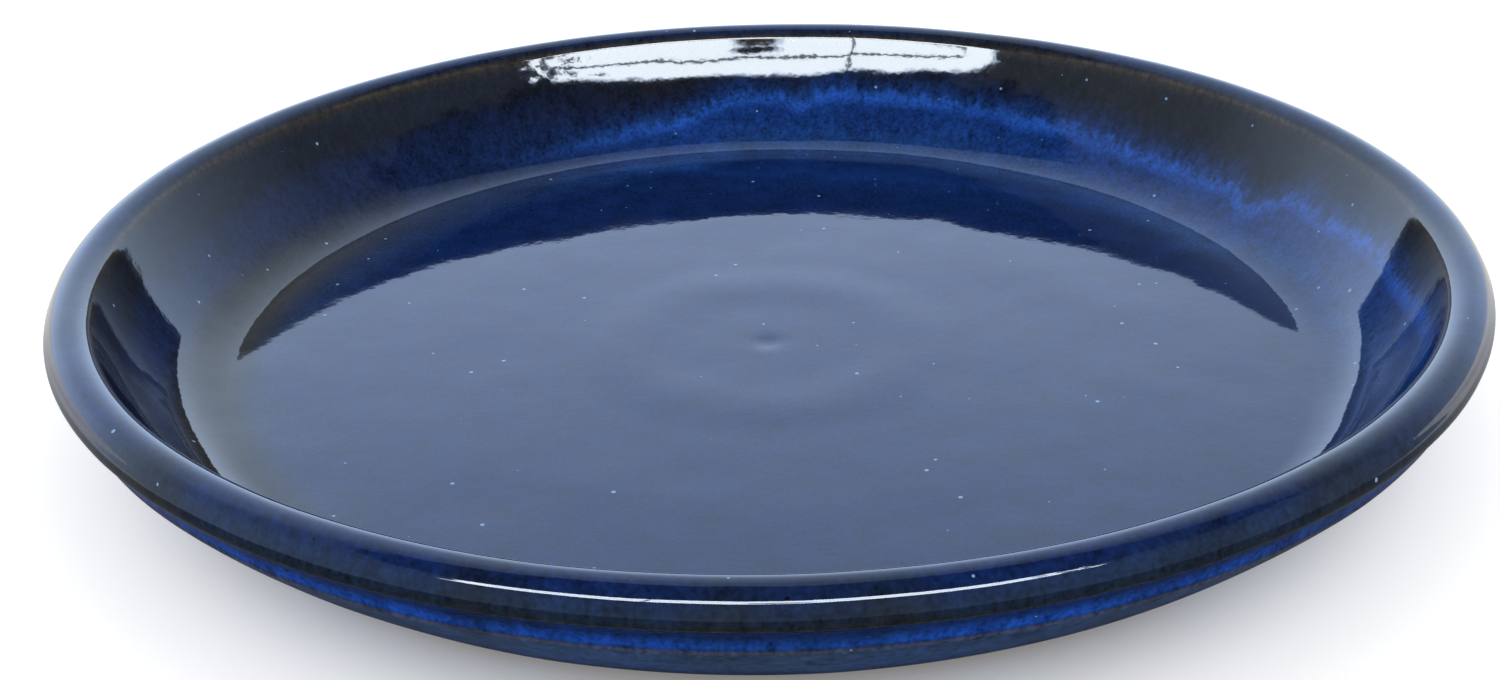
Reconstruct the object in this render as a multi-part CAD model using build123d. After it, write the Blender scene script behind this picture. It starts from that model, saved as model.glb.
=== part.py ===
from build123d import *
from build123d.topology import SkipClean
from math import atan2, cos, radians, sin
import os

# Glazed stoneware plant saucer, drawn as one section and turned about Z.
# Millimetres, +Z up. The origin is on the ground, at the centre of the foot ring.
# The clay body carries the shape. The glaze is a glassy coat fired onto it,
# over everything but the foot ring and the underside, which stay bare.

# Sizes of the fired saucer, measured over its glaze
saucer_diameter = 356.0       # over the bead, the widest part of the rim
saucer_height = 43.0          # ground to the top of the rim
floor_height = 9.8            # ground to the flat floor that the pot stands on
wall_reach = 42.2             # from the edge of the flat floor out to the bead
corner_radius = 23.0          # sweep from the floor into the wall
wall_radius = 150.0           # the inside wall is a little hollow from corner to rim

# Rim: a full roll, with a low bead on its outside and a faint crease between them
roll_radius = 5.6
bead_radius = 3.5
bead_proud = 0.7              # how far the bead stands out past the roll
bead_drop = 0.8               # bead centre below roll centre
bead_end = -28.0              # degrees from level to the bead's lower edge
crease_fill = 3.0             # softening of the crease between roll and bead

# Outside wall: a hollow cove under the bead, a raised crest, then a full lower wall
crest_step = 4.7              # crest lies this far inside the bead's lower edge
crest_drop = 7.8              # and this far below it
cove_depth = 1.2
lower_wall_bulge = 1.6
edge_round = 0.5              # rounding of the bead's edge and of the crest

# Foot ring and underside, bare clay
foot_set = 5.2                # how far the foot ring's face lies outside the flat floor
foot_height = 1.5
foot_width = 7.0
foot_bevel = 0.6
recess_depth = 2.2            # underside lies this far above the ground
recess_slope = 1.5

# Marks that throwing left on the floor: a low ring and a dimple on the axis
ring_inner_diameter = 44.0
ring_crest_diameter = 74.0
ring_outer_diameter = 108.0
ring_rise = 0.2
dimple_diameter = 9.0
dimple_depth = 0.4

# Glaze: thin where it breaks over an edge, thick where it pools in the cove
glaze_thickness = 0.6
glaze_at_edges = 0.3
glaze_pool = 0.4
glaze_line = 2.7              # ground to where the glaze was wiped off

overrun = 5.0                 # how far a cutting face runs past the section
turn_parts = 8                # a turned solid is made of this many equal parts


def at(r, z):
    """A point of the section, at radius r and height z."""
    return Vector(r, 0, z)


def on_circle(centre, radius, degrees_up):
    """The point of a circle that lies at an angle from level, outwards."""
    turn = radians(degrees_up)
    return centre + at(radius * cos(turn), radius * sin(turn))


def arc(centre, radius, start, end):
    """A part of a circle between two angles."""
    middle = (start + end) / 2
    ends = [on_circle(centre, radius, turn) for turn in (start, middle, end)]
    return ThreePointArc(*ends)


def bowed(start, end, rise):
    """An arc from start to end that stands off its chord by rise, to its left."""
    chord = end - start
    aside = at(-chord.Z, chord.X).normalized() * rise
    return ThreePointArc(start, (start + end) / 2 + aside, end)


def angle_of(centre, point):
    """Angle from level, in degrees, of a point seen from a centre."""
    ray = point - centre
    return atan2(ray.Z, ray.X) / radians(1)


# Places that both the glaze's surface and the clay under it are drawn from
saucer_radius = saucer_diameter / 2
floor_radius = saucer_radius - wall_reach
foot_radius = floor_radius + foot_set
foot_in = foot_radius - foot_width
corner_centre = at(floor_radius, floor_height + corner_radius)
roll_centre = at(saucer_radius - bead_proud - roll_radius, saucer_height - roll_radius)
bead_centre = at(saucer_radius - bead_radius, roll_centre.Z - bead_drop)
bead_edge = on_circle(bead_centre, bead_radius, bead_end)
crest = bead_edge - at(crest_step, crest_drop)


def crossing(centre, radius, other_centre, other_radius):
    """Where two circles cross, on the left of the way from the first centre to the other."""
    span = other_centre - centre
    along = (span.length ** 2 + radius ** 2 - other_radius ** 2) / (2 * span.length)
    aside = (radius ** 2 - along ** 2) ** 0.5
    way = span.normalized()
    return centre + way * along + at(-way.Z, way.X) * aside


crease = crossing(roll_centre, roll_radius, bead_centre, bead_radius)
wall_centre = crossing(
    corner_centre, wall_radius - corner_radius, roll_centre, wall_radius + roll_radius
)


def floor_lines(height):
    """The floor from the axis out to the corner, with its throwing marks."""
    return Polyline(
        at(0, height - dimple_depth),
        at(dimple_diameter / 2, height),
        at(ring_inner_diameter / 2, height),
        at(ring_crest_diameter / 2, height + ring_rise),
        at(ring_outer_diameter / 2, height),
        at(floor_radius, height),
    )


def rim_lines(sink):
    """From the floor up: corner, inside wall, roll and bead, sunk under the fired surface."""
    corner, wall = corner_radius + sink, wall_radius + sink
    roll, bead = roll_radius - sink, bead_radius - sink
    wall_start, wall_end = angle_of(wall_centre, corner_centre), angle_of(wall_centre, roll_centre)
    valley = crossing(roll_centre, roll, bead_centre, bead)
    return [
        arc(corner_centre, corner, -90, wall_start),
        arc(wall_centre, wall, wall_start, wall_end),
        arc(roll_centre, roll, wall_end + 180, angle_of(roll_centre, valley)),
        arc(bead_centre, bead, angle_of(bead_centre, valley), bead_end),
    ]


def outside_lines(edge, ridge, foot_top, cove, bulge):
    """The cove, the lower wall and the foot ring, down to the ground."""
    return [
        bowed(edge, ridge, -cove),
        bowed(ridge, foot_top, bulge),
        Polyline(foot_top, at(foot_top.X, 0), at(foot_in, 0)),
    ]


def underside_lines(floor):
    """The recessed underside and the axis, up to the floor."""
    return Polyline(
        at(foot_in, 0),
        at(foot_in - recess_slope, recess_depth),
        at(0, recess_depth),
        at(0, floor - dimple_depth),
    )


def draw_fired_section():
    """The whole saucer's section over its glaze, with its edges softened."""
    lines = [
        floor_lines(floor_height),
        *rim_lines(0),
        *outside_lines(bead_edge, crest, at(foot_radius, foot_height), cove_depth, lower_wall_bulge),
        underside_lines(floor_height),
    ]
    face = make_face(Curve() + lines)
    face = fillet(near(face, crease), crease_fill)
    for edge in (bead_edge, crest):
        face = fillet(near(face, edge), edge_round)
    return face


def draw_clay_section(fired):
    """The clay: sunk by the glaze where glazed, full size below the glaze line."""
    floor = floor_height - glaze_thickness
    under_bead = on_circle(bead_centre, bead_radius - glaze_thickness, bead_end)
    edge = on_circle(bead_centre, bead_radius - glaze_at_edges, bead_end)
    ridge = crest - at(glaze_at_edges, 0)
    foot_top = at(foot_radius - glaze_thickness, foot_height)
    cove = cove_depth + glaze_thickness + glaze_pool
    lines = [
        floor_lines(floor),
        *rim_lines(glaze_thickness),
        Line(under_bead, edge),
        *outside_lines(edge, ridge, foot_top, cove, lower_wall_bulge - glaze_thickness),
        underside_lines(floor),
    ]
    below = Plane.XZ * Rectangle(
        saucer_radius + overrun, glaze_line + overrun, align=(Align.MIN, Align.MAX)
    )
    return make_face(Curve() + lines) + (fired & Pos(0, 0, glaze_line) * below)


def near(face, point):
    """The corner of a face that lies nearest to a point."""
    return face.vertices().sort_by_distance(point)[0]


def turned(outline):
    """A section turned about Z in equal parts, so that each round face is a compact patch."""
    step = 360 / turn_parts
    part = revolve(outline, Axis.Z, revolution_arc=step)
    with SkipClean():
        return part + [part.rotate(Axis.Z, step * index) for index in range(1, turn_parts)]


def make_clay_body(clay):
    """Turned clay body, with the bevels that a potter cuts on the foot ring."""
    for corner in (at(foot_radius, 0), at(foot_in, 0)):
        clay = chamfer(near(clay, corner), foot_bevel)
    return turned(clay)


fired_section = draw_fired_section()
clay_section = draw_clay_section(fired_section)
nodes = {
    "clay_body": make_clay_body(clay_section),
    "glaze_coat": turned(fired_section - clay_section),
}

os.makedirs("parts", exist_ok=True)
for name, shape in nodes.items():
    shape.label = name
    export_step(shape, f"parts/{name}.step")
    print(name, "volume", round(shape.volume), "mm3")
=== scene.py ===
from math import asin, atan2, cos, degrees, pi, radians, sin

import bmesh
import bpy
from mathutils import Matrix, Vector


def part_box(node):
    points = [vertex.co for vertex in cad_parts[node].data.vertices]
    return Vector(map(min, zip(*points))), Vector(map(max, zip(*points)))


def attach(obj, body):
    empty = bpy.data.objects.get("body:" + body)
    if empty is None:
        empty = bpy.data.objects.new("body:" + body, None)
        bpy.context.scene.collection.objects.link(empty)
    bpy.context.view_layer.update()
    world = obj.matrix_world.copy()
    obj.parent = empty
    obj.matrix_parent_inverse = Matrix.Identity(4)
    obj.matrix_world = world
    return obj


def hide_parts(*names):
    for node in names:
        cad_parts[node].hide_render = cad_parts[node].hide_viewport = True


# Glazed stoneware plant saucer. Metres, +Z up, the part's own frame.
# Two pieces are turned from one section, as on the wheel: the glaze, and the clay under it.

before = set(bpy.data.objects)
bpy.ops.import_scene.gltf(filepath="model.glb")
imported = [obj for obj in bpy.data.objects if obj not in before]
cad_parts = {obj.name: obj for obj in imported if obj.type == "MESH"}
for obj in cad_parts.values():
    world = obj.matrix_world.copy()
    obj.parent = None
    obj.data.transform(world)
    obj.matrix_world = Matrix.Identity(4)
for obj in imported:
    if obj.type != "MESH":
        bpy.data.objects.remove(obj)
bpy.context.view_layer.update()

MM = 0.001

# Section of the fired saucer, over its glaze
GLAZE_LOW, GLAZE_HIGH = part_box("glaze_coat")
SAUCER_RADIUS = GLAZE_HIGH.x
SAUCER_HEIGHT = GLAZE_HIGH.z
GLAZE_LINE = GLAZE_LOW.z                  # the glaze was wiped off up to this height
FLOOR_HEIGHT = 9.8 * MM
FLOOR_RADIUS = SAUCER_RADIUS - 40.0 * MM
CORNER_RADIUS = 18.0 * MM
WALL_RADIUS = 115.0 * MM
ROLL_RADIUS = 5.6 * MM
BEAD_RADIUS = 3.5 * MM
BEAD_PROUD = 0.7 * MM
BEAD_DROP = 0.8 * MM
BEAD_END = -28.0                          # degrees from level to the bead's lower edge
CREASE_HOLLOW = 12.0 * MM                 # radius of the faint hollow between roll and bead
CREST_STEP = 4.7 * MM
CREST_DROP = 7.8 * MM
COVE_DEPTH = 1.2 * MM
LOWER_WALL_BULGE = 1.6 * MM
EDGE_ROUND = 0.6 * MM
GLAZE_THICKNESS = 0.5 * MM
GLAZE_EDGE_ROUND = 0.2 * MM

# Foot ring and underside
FOOT_RADIUS = SAUCER_RADIUS - 37.0 * MM
FOOT_HEIGHT = 1.5 * MM
FOOT_WIDTH = 7.0 * MM
FOOT_BEVEL = 0.8 * MM
RECESS_DEPTH = 2.2 * MM
RECESS_SLOPE = 1.5 * MM

# Throwing marks on the floor: radius, half width and rise of each ring
FLOOR_MARKS = (
    (0.0 * MM, 5.0 * MM, -0.4 * MM),
    (37.0 * MM, 17.0 * MM, 0.25 * MM),
    (88.0 * MM, 22.0 * MM, 0.06 * MM),
)
FLOOR_STEPS = 48

# Turning, and how far it runs out of true
TURN_STEPS = 320
WELD = 0.001 * MM
GLAZE_SMOOTH, CLAY_SMOOTH = 50.0, 35.0    # edges sharper than this many degrees stay crisp
HAND_SIZE = 28.0 * MM                     # width of the small swells that hand turning left
HAND_SHIFT = 0.22 * MM
HAND_FADE = 6.0 * MM                      # they fade in over this height, above a foot trimmed true


def at(radius, height):
    """A point of the section."""
    return Vector((radius, 0, height))


def on_circle(centre, radius, degrees_up):
    """The point of a circle that lies at an angle from level, outwards."""
    turn = radians(degrees_up)
    return centre + at(radius * cos(turn), radius * sin(turn))


def angle_of(centre, point):
    """Angle from level, in degrees, of a point seen from a centre."""
    return degrees(atan2(point.z - centre.z, point.x - centre.x))


def crossing(centre, radius, other_centre, other_radius):
    """Where two circles cross, on the left of the way from the first centre to the other."""
    span = other_centre - centre
    along = (span.length ** 2 + radius ** 2 - other_radius ** 2) / (2 * span.length)
    aside = (radius ** 2 - along ** 2) ** 0.5
    way = span.normalized()
    return centre + way * along + at(-way.z, way.x) * aside


def bow_centre(start, end, rise):
    """Centre of the arc from start to end that stands off its chord by rise, to its left."""
    radius = ((end - start).length ** 2 / 4 + rise ** 2) / (2 * abs(rise))
    if rise > 0:
        return crossing(end, radius, start, radius)
    return crossing(start, radius, end, radius)


# Centres and corners of the section
CORNER_CENTRE = at(FLOOR_RADIUS, FLOOR_HEIGHT + CORNER_RADIUS)
ROLL_CENTRE = at(SAUCER_RADIUS - BEAD_PROUD - ROLL_RADIUS, SAUCER_HEIGHT - ROLL_RADIUS)
BEAD_CENTRE = at(SAUCER_RADIUS - BEAD_RADIUS, ROLL_CENTRE.z - BEAD_DROP)
WALL_CENTRE = crossing(
    CORNER_CENTRE, WALL_RADIUS - CORNER_RADIUS, ROLL_CENTRE, WALL_RADIUS + ROLL_RADIUS
)
CREASE_CENTRE = crossing(
    ROLL_CENTRE, ROLL_RADIUS + CREASE_HOLLOW, BEAD_CENTRE, BEAD_RADIUS + CREASE_HOLLOW
)
BEAD_EDGE = on_circle(BEAD_CENTRE, BEAD_RADIUS, BEAD_END)
CREST = BEAD_EDGE - at(CREST_STEP, CREST_DROP)
COVE_CENTRE = bow_centre(BEAD_EDGE, CREST, -COVE_DEPTH)
COVE_RADIUS = (CREST - COVE_CENTRE).length
LOWER_WALL_CENTRE = bow_centre(CREST, at(FOOT_RADIUS, FOOT_HEIGHT), LOWER_WALL_BULGE)
LOWER_WALL_RADIUS = (CREST - LOWER_WALL_CENTRE).length
CLAY_WALL_RADIUS = LOWER_WALL_RADIUS - GLAZE_THICKNESS


class Pen:
    """A section drawn in edit mode by one vertex that is extruded and spun along it."""

    def __init__(self, start):
        bpy.ops.object.select_all(action="DESELECT")
        bpy.ops.mesh.primitive_plane_add(size=MM)
        bpy.ops.object.mode_set(mode="EDIT")
        bpy.ops.mesh.merge(type="CENTER")
        bpy.ops.transform.translate(value=start)
        self.end = start

    def line(self, end, steps=1):
        """Extrude to a place, in equal steps."""
        step = (end - self.end) / steps
        for _ in range(steps):
            bpy.ops.mesh.extrude_region_move(TRANSFORM_OT_translate={"value": step})
        self.end = end

    def arc(self, centre, to_degrees, steps):
        """Spin about a centre, the short way, to an angle from level."""
        radius = (self.end - centre).length
        turn = (to_degrees - angle_of(centre, self.end) + 180) % 360 - 180
        bpy.ops.mesh.spin(steps=steps, angle=radians(turn), center=centre, axis=(0, 1, 0))
        self.end = on_circle(centre, radius, to_degrees)


def floor_height(radius):
    """Height of the floor's surface, with its throwing marks."""
    height = FLOOR_HEIGHT
    for middle, half_width, rise in FLOOR_MARKS:
        off = min(abs(radius - middle) / half_width, 1)
        height += rise * (1 + cos(pi * off)) / 2
    return height


def lower_wall_angle(radius, height):
    """Angle from level at which a circle round the lower wall's centre passes a height."""
    return degrees(asin((height - LOWER_WALL_CENTRE.z) / radius))


def draw_face(pen):
    """The glaze's face: floor, corner, wall, roll, crease, bead, cove and lower wall."""
    for step in range(1, FLOOR_STEPS + 1):
        radius = FLOOR_RADIUS * step / FLOOR_STEPS
        pen.line(at(radius, floor_height(radius)))
    pen.arc(CORNER_CENTRE, angle_of(WALL_CENTRE, CORNER_CENTRE), steps=20)
    pen.arc(WALL_CENTRE, angle_of(WALL_CENTRE, ROLL_CENTRE), steps=12)
    pen.arc(ROLL_CENTRE, angle_of(ROLL_CENTRE, CREASE_CENTRE), steps=26)
    pen.arc(CREASE_CENTRE, angle_of(BEAD_CENTRE, CREASE_CENTRE) + 180, steps=4)
    pen.arc(BEAD_CENTRE, BEAD_END, steps=10)
    pen.arc(COVE_CENTRE, angle_of(COVE_CENTRE, CREST), steps=10)
    pen.arc(LOWER_WALL_CENTRE, lower_wall_angle(LOWER_WALL_RADIUS, GLAZE_LINE), steps=16)


def draw_under_glaze(pen):
    """The face that clay and glaze share, from the glaze line over the rim to the axis."""
    sink = GLAZE_THICKNESS
    pen.arc(LOWER_WALL_CENTRE, angle_of(LOWER_WALL_CENTRE, CREST), steps=8)
    pen.line(on_circle(COVE_CENTRE, COVE_RADIUS + sink, angle_of(COVE_CENTRE, CREST)))
    pen.arc(COVE_CENTRE, angle_of(COVE_CENTRE, BEAD_EDGE), steps=3)
    pen.line(on_circle(BEAD_CENTRE, BEAD_RADIUS - sink, BEAD_END))
    pen.arc(BEAD_CENTRE, angle_of(BEAD_CENTRE, CREASE_CENTRE), steps=4)
    pen.line(on_circle(ROLL_CENTRE, ROLL_RADIUS - sink, angle_of(ROLL_CENTRE, CREASE_CENTRE)))
    pen.arc(ROLL_CENTRE, angle_of(WALL_CENTRE, ROLL_CENTRE) + 180, steps=8)
    pen.arc(WALL_CENTRE, angle_of(WALL_CENTRE, CORNER_CENTRE), steps=3)
    pen.arc(CORNER_CENTRE, -90, steps=6)
    pen.line(at(0, pen.end.z), steps=2)


def draw_foot(pen):
    """The underside, the foot ring and the bare clay up to the glaze line."""
    foot_top = lower_wall_angle(CLAY_WALL_RADIUS, FOOT_HEIGHT)
    face = on_circle(LOWER_WALL_CENTRE, CLAY_WALL_RADIUS, foot_top).x
    inside = face - FOOT_WIDTH
    pen.line(at(inside - RECESS_SLOPE, RECESS_DEPTH), steps=6)
    pen.line(at(inside, FOOT_BEVEL), steps=2)
    pen.line(at(inside + FOOT_BEVEL, 0))
    pen.line(at(face - FOOT_BEVEL, 0), steps=3)
    pen.line(at(face, FOOT_BEVEL))
    pen.line(at(face, FOOT_HEIGHT))
    pen.arc(LOWER_WALL_CENTRE, lower_wall_angle(CLAY_WALL_RADIUS, GLAZE_LINE), steps=1)


def soften(corner, size, steps):
    """Round one corner of the section that is being drawn."""
    bpy.ops.mesh.select_all(action="DESELECT")
    section = bmesh.from_edit_mesh(bpy.context.object.data)
    nearest = min(section.verts, key=lambda vert: (vert.co - corner).length)
    nearest.select_set(True)
    bmesh.update_edit_mesh(bpy.context.object.data)
    bpy.ops.mesh.bevel(offset=size, segments=steps, affect="VERTICES")


def measure():
    """Write each vertex's way along the section, in mm, for the patterns that follow it."""
    mesh = bpy.context.object.data
    beside = {vert.index: [] for vert in mesh.vertices}
    for edge in mesh.edges:
        first, second = edge.vertices
        beside[first].append(second)
        beside[second].append(first)
    ends = [index for index, others in beside.items() if len(others) == 1]
    here = max(ends, key=lambda index: mesh.vertices[index].co.z)
    along = mesh.attributes.new("along", "FLOAT", "POINT")
    came_from, travelled = None, 0.0
    while here is not None:
        along.data[here].value = travelled / MM
        onward = [other for other in beside[here] if other != came_from]
        if onward:
            travelled += (mesh.vertices[onward[0]].co - mesh.vertices[here].co).length
        came_from, here = here, onward[0] if onward else None


def turn_piece(name, smooth_degrees):
    """Turn the drawn section about the axis, close its seam and poles, and finish the piece."""
    bpy.ops.object.mode_set(mode="OBJECT")
    measure()
    bpy.ops.object.mode_set(mode="EDIT")
    bpy.ops.mesh.select_all(action="SELECT")
    bpy.ops.mesh.spin(steps=TURN_STEPS, angle=2 * pi, center=(0, 0, 0), axis=(0, 0, 1))
    bpy.ops.mesh.select_all(action="SELECT")
    bpy.ops.mesh.remove_doubles(threshold=WELD)
    bpy.ops.mesh.normals_make_consistent(inside=False)
    bpy.ops.object.mode_set(mode="OBJECT")
    piece = bpy.context.object
    piece.name = name
    piece.data.name = name
    run_out_of_true(piece)
    bpy.ops.object.shade_smooth_by_angle(angle=radians(smooth_degrees))
    return piece


def run_out_of_true(piece):
    """Shift the surface a little, as a pot turned by hand runs slightly out of true."""
    above = piece.vertex_groups.new(name="above the foot")
    for vert in piece.data.vertices:
        share = (vert.co.z - GLAZE_LINE) / HAND_FADE
        above.add([vert.index], min(max(share, 0), 1), "REPLACE")
    clouds = bpy.data.textures.new("hand", "CLOUDS")
    clouds.cloud_type = "COLOR"
    clouds.noise_scale = HAND_SIZE
    clouds.noise_depth = 1
    sway = piece.modifiers.new("hand", "DISPLACE")
    sway.texture = clouds
    sway.vertex_group = above.name
    sway.direction = "RGB_TO_XYZ"
    sway.strength = HAND_SHIFT
    bpy.ops.object.modifier_apply(modifier=sway.name)


def make_glaze():
    """The glaze coat: its face, a rounded edge at the glaze line, and its hidden inner face."""
    pen = Pen(at(0, floor_height(0)))
    draw_face(pen)
    edge = pen.end
    inner_turn = lower_wall_angle(CLAY_WALL_RADIUS, GLAZE_LINE)
    pen.line(on_circle(LOWER_WALL_CENTRE, CLAY_WALL_RADIUS, inner_turn))
    draw_under_glaze(pen)
    soften(BEAD_EDGE, EDGE_ROUND, steps=4)
    soften(CREST, EDGE_ROUND, steps=4)
    soften(edge, GLAZE_EDGE_ROUND, steps=3)
    return turn_piece("glaze", GLAZE_SMOOTH)


def make_clay():
    """The clay body, bare at the foot ring and underside."""
    pen = Pen(at(0, RECESS_DEPTH))
    draw_foot(pen)
    draw_under_glaze(pen)
    return turn_piece("clay", CLAY_SMOOTH)


def linear(hex_colour):
    """A linear RGBA colour from an sRGB hex string."""
    shares = [int(hex_colour[start:start + 2], 16) / 255 for start in (1, 3, 5)]
    lit = [c / 12.92 if c <= 0.04045 else ((c + 0.055) / 1.055) ** 2.4 for c in shares]
    return (*lit, 1)


def placed(stops, low, high):
    """Ramp stops from places between low and high, each with a hex colour or a plain level."""
    return [
        ((place - low) / (high - low), linear(tone) if isinstance(tone, str) else (tone,) * 3 + (1,))
        for place, tone in stops
    ]


def add(tree, kind, inputs=None, stops=(), **settings):
    """Add a node with its settings, ramp stops and links.

    An input takes a value, an output, or a node, which stands for its first output.
    """
    node = tree.nodes.new(kind)
    for name, value in settings.items():
        setattr(node, name, value)
    for _ in stops[2:]:
        node.color_ramp.elements.new(0.5)
    for index, (position, colour) in enumerate(stops):
        node.color_ramp.elements[index].position = position
        node.color_ramp.elements[index].color = colour
    for name, value in (inputs or {}).items():
        if isinstance(value, bpy.types.Node):
            value = value.outputs[0]
        if isinstance(value, bpy.types.NodeSocket):
            tree.links.new(value, node.inputs[name])
        else:
            node.inputs[name].default_value = value
    return node


def new_material(name):
    """An empty node material, ready for its shader."""
    material = bpy.data.materials.new(name)
    material.use_nodes = True
    material.node_tree.nodes.clear()
    return material, material.node_tree


# Sockets of a Mix node that mixes colours
FACTOR, FIRST, SECOND, MIXED = 0, 6, 7, 2
# A noise lies nearly all between these levels
NOISE_LOW, NOISE_HIGH = 0.3, 0.7

# Places in the glaze are millimetres along the section, from the axis over floor, wall and rim.
# The glaze ran down the wall and stopped in a bright line. Its place goes with the azimuth,
# in degrees from +X towards the back.
RUN_LINE = (
    (-180, 150), (-70, 168), (-25, 178), (-6, 169), (12, 166.5), (20, 164), (25.5, 154),
    (28, 160), (40, 158.5), (55, 161.5), (68, 163.5), (82, 164.5), (85, 160), (88, 164),
    (92, 164), (98, 157.5), (110, 153), (130, 150), (180, 150),
)
RUN_LINE_REACH = 200                      # the place that the ramp's level 1 stands for
# Colours by millimetres past that line, where much cobalt lies
COBALT_WALL = (
    (-30, "#0c2352"), (-18, "#173a70"), (-11, "#143472"), (-5, "#113272"), (-1.8, "#1f4ca2"),
    (-0.2, "#1e4894"), (2.2, "#163064"), (6, "#13203e"), (11, "#18191e"), (20, "#1a1a1c"),
)
# The same where the dark clay shows through
DARK_WALL = (
    (-30, "#0c2352"), (-22, "#172c56"), (-10, "#14274c"), (4, "#10224a"), (16, "#111d3c"),
    (20, "#151926"),
)
WALL_SPAN = (-30, 20)
# Cobalt lies thick round one azimuth, and thin on the left: middle, near edge, far edge, degrees
RICH_SIDE = (42, 54, 84)
THIN_SIDE = (185, 20, 62)
# On the left the glaze is thin over the corner too, and the clay warms it
THIN_CORNER = "#28261c"
THIN_CORNER_PLACE, THIN_CORNER_NEAR, THIN_CORNER_FAR = 143, 3, 16

# Colours from the top of the inside wall over the rim down to the glaze line. The lower wall's
# blues, from 209 mm on, are partly its own colour and partly painted light: lightened to make up for
# the shade they lie in, facing down to the floor.
RIM = (
    (178, "#1a1b20"), (181.2, "#2c2823"), (182.2, "#463c32"), (183.4, "#1a2438"),
    (186, "#0f2350"), (191, "#0c2050"), (194.6, "#11254a"), (197.5, "#142236"),
    (199.0, "#1b2126"), (199.4, "#403529"), (199.9, "#0e2446"), (204, "#0d2758"),
    (207.3, "#18449e"), (208.2, "#153870"), (208.6, "#4c4034"), (209.1, "#324a70"),
    (225, "#42629a"), (249, "#4a6ea8"),
)
# The same where the glaze lies thin, with the same painted light on the lower wall's blues
THIN_RIM = (
    (178, "#1c1c1c"), (181.2, "#302b24"), (183.4, "#1c2028"), (186, "#131f34"),
    (191, "#121d30"), (194.6, "#151d28"), (199.0, "#1d2022"), (199.4, "#3c3228"),
    (199.9, "#12203a"), (204, "#10264c"), (207.3, "#163670"), (208.2, "#16305c"),
    (208.6, "#4a3e32"), (209.1, "#324460"), (225, "#465e82"), (249, "#506a96"),
)
RIM_SPAN = (178, 250)
RIM_BLEND = (178, 181)
PATCH_SIZE = 50 * MM
PATCH_THICK, PATCH_THIN = 0.49, 0.68      # noise levels between which thick glaze turns thin

RUN_SIZE, RUN_SWAY = 22 * MM, 1.2         # broad runs sway the bright line by this, in mm
STRAND_SIZE, STRAND_SWAY = 2.2 * MM, 0.9  # fine strands fringe it by this, in mm
STRAND_STRETCH = (1, 1, 0.12)             # both are drawn out down the wall
FUR = 0.30                                # how strongly the strands streak the slopes
FUR_BLEND = (142, 152)
GRAIN_SIZE = 1.1 * MM                     # real grains are 0.2 to 0.5 mm, too fine to show
DRIFT_SIZE, DRIFT_SHARE = 9 * MM, 0.6     # grains crowd and thin out over this width
GRAIN_LOW, GRAIN_HIGH = 0.55, 1.05
DARKEST_GRAIN, LIGHTEST_GRAIN = 0.55, 1.50
SPECK_GAP = 6.5 * MM
SPECK_SIZE = 0.55 * MM
SPECK_EDGE = 0.3                          # its soft edge, as a share of its size
PALE_SPECKS = 0.3                         # above this random level a speck is pale, else dark
DARK_SPECK, PALE_SPECK = "#0a0c12", "#7fa6d4"
PEEL_SIZE = 4.5 * MM                      # fine unevenness that frays the edges of reflections
PEEL_DEPTH = 0.022 * MM


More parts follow.
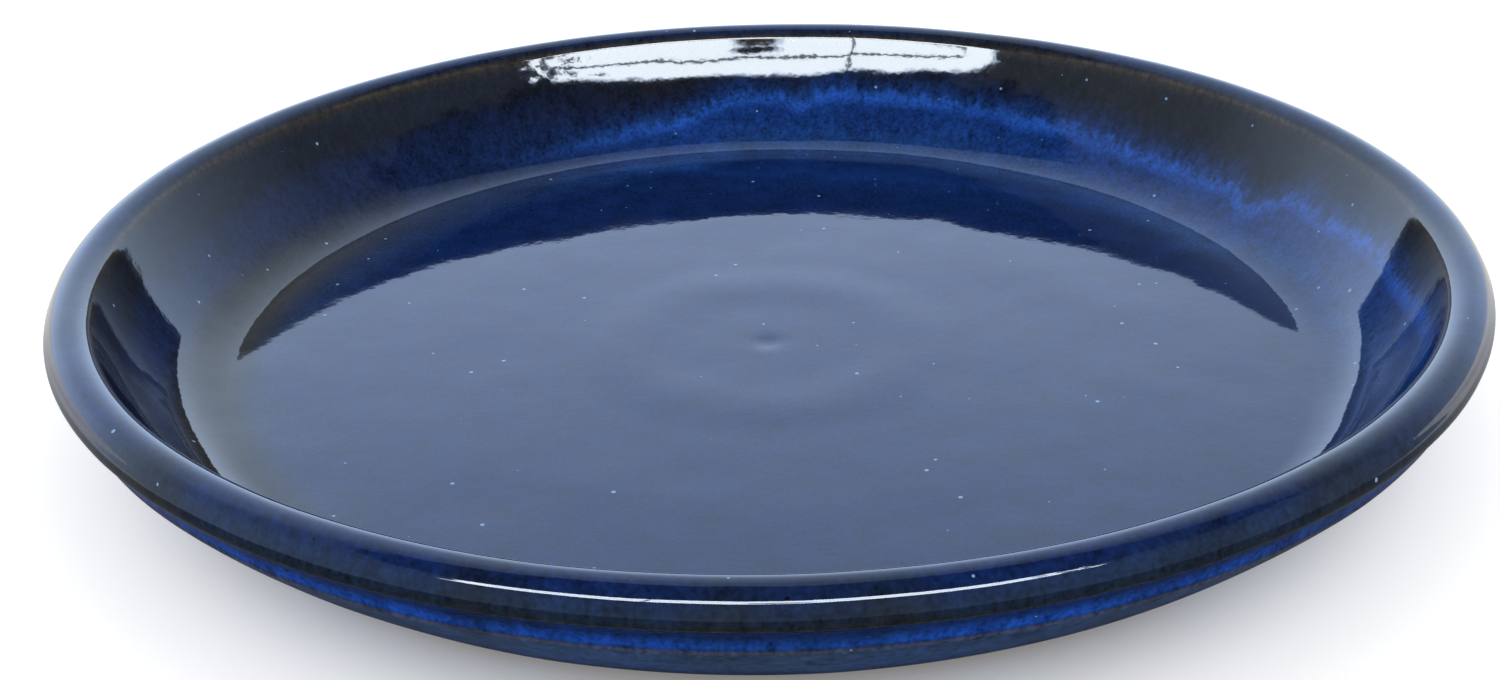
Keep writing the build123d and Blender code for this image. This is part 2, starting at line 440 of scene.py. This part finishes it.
def glossy_glaze():
    """Cobalt stoneware glaze, dipped and fired: glassy, deep blue, thin and brown over edges."""
    material, tree = new_material("cobalt_stoneware_glaze")
    place = add(tree, "ShaderNodeTexCoord").outputs["Object"]
    along = add(tree, "ShaderNodeAttribute", attribute_name="along").outputs["Fac"]
    axes = add(tree, "ShaderNodeSeparateXYZ", {"Vector": place}).outputs
    turn = add(tree, "ShaderNodeMath", {0: axes["Y"], 1: axes["X"]}, operation="ARCTAN2")
    azimuth = add(tree, "ShaderNodeMath", {0: turn}, operation="DEGREES")

    # how far past the line where the glaze stopped running, swayed and fringed by its strands
    drawn_out = add(tree, "ShaderNodeVectorMath", {
        0: place, 1: STRAND_STRETCH}, operation="MULTIPLY")
    runs = add(tree, "ShaderNodeTexNoise", {
        "Vector": drawn_out, "Scale": 1 / RUN_SIZE, "Detail": 3.0})
    strands = add(tree, "ShaderNodeTexNoise", {
        "Vector": drawn_out, "Scale": 1 / STRAND_SIZE, "Detail": 2.0})
    round_turn = add(tree, "ShaderNodeMapRange", {
        "Value": azimuth, "From Min": -180, "From Max": 180})
    line = add(tree, "ShaderNodeValToRGB", {"Fac": round_turn}, stops=placed(
        [(degrees_round, stop / RUN_LINE_REACH) for degrees_round, stop in RUN_LINE], -180, 180))
    sway = add(tree, "ShaderNodeMapRange", {
        "Value": runs, "From Min": NOISE_LOW, "From Max": NOISE_HIGH,
        "To Min": -RUN_SWAY, "To Max": RUN_SWAY})
    fringe = add(tree, "ShaderNodeMapRange", {
        "Value": strands, "From Min": NOISE_LOW, "From Max": NOISE_HIGH,
        "To Min": -STRAND_SWAY, "To Max": STRAND_SWAY})
    shift = add(tree, "ShaderNodeMath", {0: sway, 1: fringe}, operation="ADD")
    stop = add(tree, "ShaderNodeMath", {
        0: line, 1: RUN_LINE_REACH, 2: shift}, operation="MULTIPLY_ADD")
    past = add(tree, "ShaderNodeMath", {0: along, 1: stop}, operation="SUBTRACT")

    # the wall: rich in cobalt on one side, and thin over the corner on the left
    sides = []
    for middle, near, far in (RICH_SIDE, THIN_SIDE):
        off = add(tree, "ShaderNodeMath", {0: azimuth, 1: middle}, operation="SUBTRACT")
        wrapped = add(tree, "ShaderNodeMath", {0: off, 1: -180, 2: 180}, operation="WRAP")
        away = add(tree, "ShaderNodeMath", {0: wrapped}, operation="ABSOLUTE")
        sides.append(add(tree, "ShaderNodeMapRange", {
            "Value": away, "From Min": far, "From Max": near}, interpolation_type="SMOOTHSTEP"))
    rich, on_left = sides
    past_share = add(tree, "ShaderNodeMapRange", {
        "Value": past, "From Min": WALL_SPAN[0], "From Max": WALL_SPAN[1]})
    cobalt = add(tree, "ShaderNodeValToRGB", {
        "Fac": past_share}, stops=placed(COBALT_WALL, *WALL_SPAN))
    dark = add(tree, "ShaderNodeValToRGB", {
        "Fac": past_share}, stops=placed(DARK_WALL, *WALL_SPAN))
    sloped = add(tree, "ShaderNodeMix", {
        FACTOR: rich, FIRST: dark, SECOND: cobalt}, data_type="RGBA").outputs[MIXED]
    off_corner = add(tree, "ShaderNodeMath", {
        0: along, 1: THIN_CORNER_PLACE}, operation="SUBTRACT")
    from_corner = add(tree, "ShaderNodeMath", {0: off_corner}, operation="ABSOLUTE")
    on_corner = add(tree, "ShaderNodeMapRange", {
        "Value": from_corner, "From Min": THIN_CORNER_FAR, "From Max": THIN_CORNER_NEAR},
        interpolation_type="SMOOTHSTEP")
    thin_here = add(tree, "ShaderNodeMath", {0: on_left, 1: on_corner}, operation="MULTIPLY")
    wall = add(tree, "ShaderNodeMix", {
        FACTOR: thin_here, FIRST: sloped, SECOND: linear(THIN_CORNER)},
        data_type="RGBA").outputs[MIXED]

    # the rim: broad patches of thick and thin glaze
    rim_share = add(tree, "ShaderNodeMapRange", {
        "Value": along, "From Min": RIM_SPAN[0], "From Max": RIM_SPAN[1]})
    thick = add(tree, "ShaderNodeValToRGB", {"Fac": rim_share}, stops=placed(RIM, *RIM_SPAN))
    thin = add(tree, "ShaderNodeValToRGB", {"Fac": rim_share}, stops=placed(THIN_RIM, *RIM_SPAN))
    broad = add(tree, "ShaderNodeTexNoise", {
        "Vector": drawn_out, "Scale": 1 / PATCH_SIZE, "Detail": 4.0})
    patches = add(tree, "ShaderNodeMapRange", {
        "Value": broad, "From Min": PATCH_THICK, "From Max": PATCH_THIN})
    rim = add(tree, "ShaderNodeMix", {
        FACTOR: patches, FIRST: thick, SECOND: thin}, data_type="RGBA").outputs[MIXED]
    on_rim = add(tree, "ShaderNodeMapRange", {
        "Value": along, "From Min": RIM_BLEND[0], "From Max": RIM_BLEND[1]})
    body = add(tree, "ShaderNodeMix", {
        FACTOR: on_rim, FIRST: wall, SECOND: rim}, data_type="RGBA").outputs[MIXED]

    # grains of colour that float in the glaze, and strands that streak the slopes
    grain = add(tree, "ShaderNodeTexNoise", {
        "Vector": place, "Scale": 1 / GRAIN_SIZE, "Detail": 3.0})
    drift = add(tree, "ShaderNodeTexNoise", {
        "Vector": place, "Scale": 1 / DRIFT_SIZE, "Detail": 3.0})
    crowded = add(tree, "ShaderNodeMath", {
        0: drift, 1: DRIFT_SHARE, 2: grain}, operation="MULTIPLY_ADD")
    strength = add(tree, "ShaderNodeMapRange", {
        "Value": crowded, "From Min": GRAIN_LOW, "From Max": GRAIN_HIGH,
        "To Min": DARKEST_GRAIN, "To Max": LIGHTEST_GRAIN})
    on_slope = add(tree, "ShaderNodeMapRange", {
        "Value": along, "From Min": FUR_BLEND[0], "From Max": FUR_BLEND[1]})
    fur = add(tree, "ShaderNodeMapRange", {
        "Value": strands, "From Min": NOISE_LOW, "From Max": NOISE_HIGH,
        "To Min": -FUR, "To Max": FUR})
    streaked = add(tree, "ShaderNodeMath", {
        0: fur, 1: on_slope, 2: strength}, operation="MULTIPLY_ADD")
    mottled = add(tree, "ShaderNodeVectorMath", {0: body, 3: streaked}, operation="SCALE")

    # specks: pinholes that healed over, pale or dark, each with its own size
    cells = add(tree, "ShaderNodeTexVoronoi", {"Vector": place, "Scale": 1 / SPECK_GAP})
    random = add(tree, "ShaderNodeSeparateColor", {0: cells.outputs["Color"]}).outputs
    size = add(tree, "ShaderNodeMath", {
        0: random["Green"], 1: SPECK_SIZE / SPECK_GAP}, operation="MULTIPLY")
    inside = add(tree, "ShaderNodeMath", {
        0: size, 1: cells.outputs["Distance"]}, operation="SUBTRACT")
    edge = SPECK_EDGE * SPECK_SIZE / SPECK_GAP
    speck = add(tree, "ShaderNodeMapRange", {
        "Value": inside, "From Min": -edge / 2, "From Max": edge / 2})
    pale = add(tree, "ShaderNodeMath", {
        0: random["Red"], 1: PALE_SPECKS}, operation="GREATER_THAN")
    spot = add(tree, "ShaderNodeMix", {
        FACTOR: pale, FIRST: linear(DARK_SPECK), SECOND: linear(PALE_SPECK)},
        data_type="RGBA").outputs[MIXED]
    glaze = add(tree, "ShaderNodeMix", {
        FACTOR: speck, FIRST: mottled, SECOND: spot}, data_type="RGBA").outputs[MIXED]

    peel = add(tree, "ShaderNodeTexNoise", {
        "Vector": place, "Scale": 1 / PEEL_SIZE, "Detail": 2.0})
    skin = add(tree, "ShaderNodeBump", {"Height": peel, "Distance": PEEL_DEPTH})
    shader = add(tree, "ShaderNodeBsdfPrincipled", {
        "Base Color": glaze, "Roughness": 0.04, "IOR": 1.5, "Normal": skin})
    add(tree, "ShaderNodeOutputMaterial", {"Surface": shader})
    return material


def bare_clay():
    """Bare fired stoneware, wiped clean at the foot: dry, matt, warm brown."""
    material, tree = new_material("bare_stoneware")
    shader = add(tree, "ShaderNodeBsdfPrincipled", {
        "Base Color": linear("#6a4a36"), "Roughness": 0.85})
    add(tree, "ShaderNodeOutputMaterial", {"Surface": shader})
    return material


# Studio that the glaze mirrors, in degrees. Azimuths run from straight behind the saucer,
# to the right. The walls' level and their top go with the azimuth.
DOME_LEVEL = 1.0                          # the plain light on the saucer
DAYLIGHT = (0.92, 1.18, 1.6, 1)
WALL_LEVELS = (
    (-180, 0.22), (-140, 0.28), (-100, 0.42), (-80, 0.50), (-58, 1.06), (-20, 1.35), (10, 1.30),
    (35, 0.95), (60, 0.50), (78, 0.20), (110, 0.22), (140, 0.25), (180, 0.22),
)
WALL_TOPS = (
    (-180, 36), (-110, 40), (-85, 54), (-60, 68), (-20, 76), (20, 76), (55, 66), (70, 55),
    (85, 36), (180, 36),
)
# The walls fade with the elevation
FADE = (
    (0, 1.1), (15, 1.12), (23, 0.95), (33, 0.78), (50, 0.70), (62, 0.50), (78, 0.38), (90, 0.38),
)
CEILING_LEVEL = 0.06
CEILING_EDGE = 3.0
RAGGED, RAGGED_SCALE = 7.0, 9.0           # how far and how often the edges wander
SOFTBOX_LEVEL = 20.0
SOFTBOX_COLOUR = (1.0, 1.10, 1.20, 1)
SOFTBOX_LOW, SOFTBOX_HIGH = 33.5, 43.0    # how high its edges stand, seen square on
SOFTBOX_SIDE = 50.0                       # how far aside it reaches
SOFTBOX_CURL = 0.0020                     # its edges rise by this times the square of degrees aside
HIGH_RAGGED, SIDE_RAGGED = 0.2, 0.6       # how much of the wandering its edges show
SOFTBOX_EDGE = 1.2
BAR_RISE, BAR_ASIDE = 38.4, -20.0         # where a thin crossbar and an upright stand before it
BAR_HALF, BAR_EDGE = 0.35, 0.3
BAR_REACH = 44.0                          # the crossbar ends this far aside
HOOD_ASIDE, HOOD_RISE = 0.6, 36.1         # a small dark hood hangs before it
HOOD_WIDE, HOOD_TALL, HOOD_EDGE = 5.4, 1.2, 0.5
LEAVES_IN, LEAVES_OUT = 26.0, 50.0        # leaves hang before its right end, from here to there
LEAVES_FEW, LEAVES_MANY = 0.85, 0.40      # a leaf hides it where a noise is above this
LEAVES_SCALE, LEAVES_EDGE = 30.0, 0.06


def make_world():
    """Plain light all round, and the room and softbox that the glaze mirrors."""
    world = bpy.data.worlds.new("studio")
    bpy.context.scene.world = world
    world.use_nodes = True
    tree = world.node_tree
    tree.nodes.clear()
    way = add(tree, "ShaderNodeTexCoord").outputs["Generated"]
    axes = add(tree, "ShaderNodeSeparateXYZ", {"Vector": way}).outputs
    east, north, up = axes["X"], axes["Y"], axes["Z"]
    cloud = add(tree, "ShaderNodeTexNoise", {
        "Vector": way, "Scale": RAGGED_SCALE, "Detail": 4.0})
    ragged = add(tree, "ShaderNodeMapRange", {
        "Value": cloud, "From Min": NOISE_LOW, "From Max": NOISE_HIGH,
        "To Min": -RAGGED / 2, "To Max": RAGGED / 2})

    # the room: walls under a dark ceiling
    turn = add(tree, "ShaderNodeMath", {0: east, 1: north}, operation="ARCTAN2")
    azimuth = add(tree, "ShaderNodeMath", {0: turn}, operation="DEGREES")
    climb = add(tree, "ShaderNodeMath", {0: up}, operation="ARCSINE")
    elevation = add(tree, "ShaderNodeMath", {0: climb}, operation="DEGREES")
    round_turn = add(tree, "ShaderNodeMapRange", {
        "Value": azimuth, "From Min": -180, "From Max": 180})
    to_zenith = add(tree, "ShaderNodeMapRange", {
        "Value": elevation, "From Min": 0, "From Max": 90})
    walls = add(tree, "ShaderNodeValToRGB", {
        "Fac": round_turn}, stops=placed(WALL_LEVELS, -180, 180))
    tops = add(tree, "ShaderNodeValToRGB", {"Fac": round_turn}, stops=placed(
        [(degrees_round, top / 90) for degrees_round, top in WALL_TOPS], -180, 180))
    fade = add(tree, "ShaderNodeValToRGB", {"Fac": to_zenith}, stops=placed(FADE, 0, 90))
    top = add(tree, "ShaderNodeMath", {0: tops, 1: 90, 2: ragged}, operation="MULTIPLY_ADD")
    wall = add(tree, "ShaderNodeMath", {0: walls, 1: fade}, operation="MULTIPLY")
    under_top = add(tree, "ShaderNodeMath", {0: top, 1: elevation}, operation="SUBTRACT")
    on_wall = add(tree, "ShaderNodeMapRange", {
        "Value": under_top, "From Min": -CEILING_EDGE / 2, "From Max": CEILING_EDGE / 2})
    room = add(tree, "ShaderNodeMath", {
        0: wall, 1: on_wall, 2: CEILING_LEVEL}, operation="MULTIPLY_ADD")

    # the softbox stands in front: its edges are straight over how far aside and how high they lie
    behind = add(tree, "ShaderNodeMath", {0: north, 1: -1}, operation="MULTIPLY")
    front = add(tree, "ShaderNodeMath", {0: behind, 1: 0.001}, operation="MAXIMUM")
    rise_turn = add(tree, "ShaderNodeMath", {0: up, 1: front}, operation="ARCTAN2")
    rise = add(tree, "ShaderNodeMath", {0: rise_turn}, operation="DEGREES")
    aside_turn = add(tree, "ShaderNodeMath", {0: east, 1: front}, operation="ARCTAN2")
    aside = add(tree, "ShaderNodeMath", {0: aside_turn}, operation="DEGREES")
    far = add(tree, "ShaderNodeMath", {0: aside}, operation="ABSOLUTE")
    far_squared = add(tree, "ShaderNodeMath", {0: far, 1: 2}, operation="POWER")
    curl = add(tree, "ShaderNodeMath", {0: far_squared, 1: SOFTBOX_CURL}, operation="MULTIPLY")
    height = add(tree, "ShaderNodeMath", {0: rise, 1: curl}, operation="SUBTRACT")
    high = add(tree, "ShaderNodeMath", {
        0: ragged, 1: HIGH_RAGGED, 2: SOFTBOX_HIGH}, operation="MULTIPLY_ADD")
    side = add(tree, "ShaderNodeMath", {
        0: ragged, 1: SIDE_RAGGED, 2: SOFTBOX_SIDE}, operation="MULTIPLY_ADD")

    # what hangs before it: crossbar, upright, hood, and leaves at one end
    over_bar = add(tree, "ShaderNodeMath", {0: height, 1: BAR_RISE}, operation="SUBTRACT")
    off_bar = add(tree, "ShaderNodeMath", {0: over_bar}, operation="ABSOLUTE")
    past_bar = add(tree, "ShaderNodeMath", {0: far, 1: BAR_REACH}, operation="SUBTRACT")
    bar = add(tree, "ShaderNodeMath", {0: off_bar, 1: past_bar}, operation="MAXIMUM")
    past_upright = add(tree, "ShaderNodeMath", {0: aside, 1: BAR_ASIDE}, operation="SUBTRACT")
    upright = add(tree, "ShaderNodeMath", {0: past_upright}, operation="ABSOLUTE")
    nearest = add(tree, "ShaderNodeMath", {0: bar, 1: upright}, operation="MINIMUM")
    seen = add(tree, "ShaderNodeCombineXYZ", {"X": aside, "Y": height})
    off_hood = add(tree, "ShaderNodeVectorMath", {
        0: seen, 1: (HOOD_ASIDE, HOOD_RISE, 0)}, operation="SUBTRACT")
    hood_sizes = add(tree, "ShaderNodeVectorMath", {
        0: off_hood, 1: (1 / HOOD_WIDE, 1 / HOOD_TALL, 0)}, operation="MULTIPLY")
    from_hood = add(tree, "ShaderNodeVectorMath", {0: hood_sizes}, operation="LENGTH")
    foliage = add(tree, "ShaderNodeTexNoise", {
        "Vector": way, "Scale": LEAVES_SCALE, "Detail": 2.0})
    leaf_limit = add(tree, "ShaderNodeMapRange", {
        "Value": aside, "From Min": LEAVES_IN, "From Max": LEAVES_OUT,
        "To Min": LEAVES_FEW, "To Max": LEAVES_MANY})

    # the panel shines where it is clear of every edge: where the first is more than the second
    edges = (
        (height, SOFTBOX_LOW, SOFTBOX_EDGE),
        (high, height, SOFTBOX_EDGE),
        (side, far, SOFTBOX_EDGE),
        (nearest, BAR_HALF, BAR_EDGE),
        (from_hood.outputs["Value"], 1, HOOD_EDGE),
        (leaf_limit, foliage, LEAVES_EDGE),
    )
    panel = 1
    for more, less, soft in edges:
        clear = add(tree, "ShaderNodeMath", {0: more, 1: less}, operation="SUBTRACT")
        share = add(tree, "ShaderNodeMapRange", {
            "Value": clear, "From Min": -soft / 2, "From Max": soft / 2})
        panel = add(tree, "ShaderNodeMath", {0: panel, 1: share}, operation="MULTIPLY")
    level = add(tree, "ShaderNodeMath", {
        0: panel, 1: SOFTBOX_LEVEL, 2: room}, operation="MULTIPLY_ADD")
    tint = add(tree, "ShaderNodeMix", {
        FACTOR: panel, FIRST: DAYLIGHT, SECOND: SOFTBOX_COLOUR}, data_type="RGBA").outputs[MIXED]

    studio = add(tree, "ShaderNodeBackground", {"Color": tint, "Strength": level})
    dome = add(tree, "ShaderNodeBackground", {"Color": (1, 1, 1, 1), "Strength": DOME_LEVEL})
    rays = add(tree, "ShaderNodeLightPath").outputs
    mirrored = add(tree, "ShaderNodeMath", {
        0: rays["Is Glossy Ray"], 1: rays["Is Transmission Ray"]},
        operation="ADD", use_clamp=True)
    whole = add(tree, "ShaderNodeMixShader", {0: mirrored, 1: dome, 2: studio})
    add(tree, "ShaderNodeOutputWorld", {"Surface": whole})


FLOOR_SIZE = 16.0
FLOOR_LEVEL = -0.05 * MM                  # a hair under the foot, so that no two faces coincide
FLOOR_COLOUR = "#ececec"
FLOOR_LIFT = 0.45                         # lifts that colour to white, away from the saucer
LIFT_NEAR, LIFT_FAR = 124 * MM, 172 * MM  # and comes in between these radii
FLOOR_PAINTED_SHADE = "#4c5054"                   # painted shade: a darker floor in front that only the glaze's reflections see
SHADE_BACK, SHADE_FRONT = 200 * MM, -160 * MM


def make_floor():
    """The pale floor, lifted to white away from the saucer, that keeps the saucer's shadow, with
    painted shade in front that only the glaze's reflections see.
    """
    bpy.ops.object.select_all(action="DESELECT")
    bpy.ops.mesh.primitive_plane_add(size=FLOOR_SIZE, location=(0, 0, FLOOR_LEVEL))
    floor = bpy.context.object
    floor.name = "floor"
    material, tree = new_material("pale_floor")
    place = add(tree, "ShaderNodeTexCoord").outputs["Object"]
    out = add(tree, "ShaderNodeVectorMath", {0: place}, operation="LENGTH").outputs["Value"]
    clear = add(tree, "ShaderNodeMapRange", {
        "Value": out, "From Min": LIFT_NEAR, "From Max": LIFT_FAR, "To Max": FLOOR_LIFT},
        interpolation_type="SMOOTHSTEP")
    rays = add(tree, "ShaderNodeLightPath").outputs
    mirrored = add(tree, "ShaderNodeMath", {
        0: rays["Is Glossy Ray"], 1: rays["Is Transmission Ray"]},
        operation="ADD", use_clamp=True)
    # painted shade: rays that the glaze reflects see the floor in front darker and less lifted
    forward = add(tree, "ShaderNodeSeparateXYZ", {"Vector": place}).outputs["Y"]
    in_front = add(tree, "ShaderNodeMapRange", {
        "Value": forward, "From Min": SHADE_BACK, "From Max": SHADE_FRONT},
        interpolation_type="SMOOTHSTEP")
    painted_shade = add(tree, "ShaderNodeMath", {0: mirrored, 1: in_front}, operation="MULTIPLY")
    seen = add(tree, "ShaderNodeMath", {
        0: rays["Is Camera Ray"], 1: mirrored}, operation="ADD", use_clamp=True)
    shown = add(tree, "ShaderNodeMath", {0: seen, 1: painted_shade}, operation="SUBTRACT")
    lift = add(tree, "ShaderNodeMath", {0: clear, 1: shown}, operation="MULTIPLY")
    colour = add(tree, "ShaderNodeMix", {
        FACTOR: painted_shade, FIRST: linear(FLOOR_COLOUR), SECOND: linear(FLOOR_PAINTED_SHADE)},
        data_type="RGBA").outputs[MIXED]
    diffuse = add(tree, "ShaderNodeBsdfDiffuse", {"Color": colour})
    glow = add(tree, "ShaderNodeEmission", {"Color": (1, 1, 1, 1), "Strength": lift})
    both = add(tree, "ShaderNodeAddShader", {0: diffuse, 1: glow})
    add(tree, "ShaderNodeOutputMaterial", {"Surface": both})
    floor.data.materials.append(material)


# Camera, fitted to the rim, the bead and the crest in the photograph
CAMERA_PLACE = Vector((-4.6, -515.1, 253.2)) * MM
CAMERA_TILT = 25.23                       # degrees below level
CAMERA_ROLL = -1.46
CAMERA_LENS = 52.36


def make_camera():
    """The photograph's view of the saucer."""
    data = bpy.data.cameras.new("camera")
    data.lens = CAMERA_LENS
    camera = bpy.data.objects.new("camera", data)
    bpy.context.collection.objects.link(camera)
    camera.matrix_world = (
        Matrix.Translation(CAMERA_PLACE)
        @ Matrix.Rotation(radians(90 - CAMERA_TILT), 4, "X")
        @ Matrix.Rotation(radians(CAMERA_ROLL), 4, "Z")
    )
    bpy.context.scene.camera = camera


def dress(piece, material, node):
    """Give a piece its finish, and put it in its node's place."""
    piece.data.materials.append(material)
    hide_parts(node)
    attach(piece, "root")


dress(make_clay(), bare_clay(), "clay_body")
dress(make_glaze(), glossy_glaze(), "glaze_coat")
make_floor()
make_world()
make_camera()
bpy.context.scene.view_settings.view_transform = "Standard"
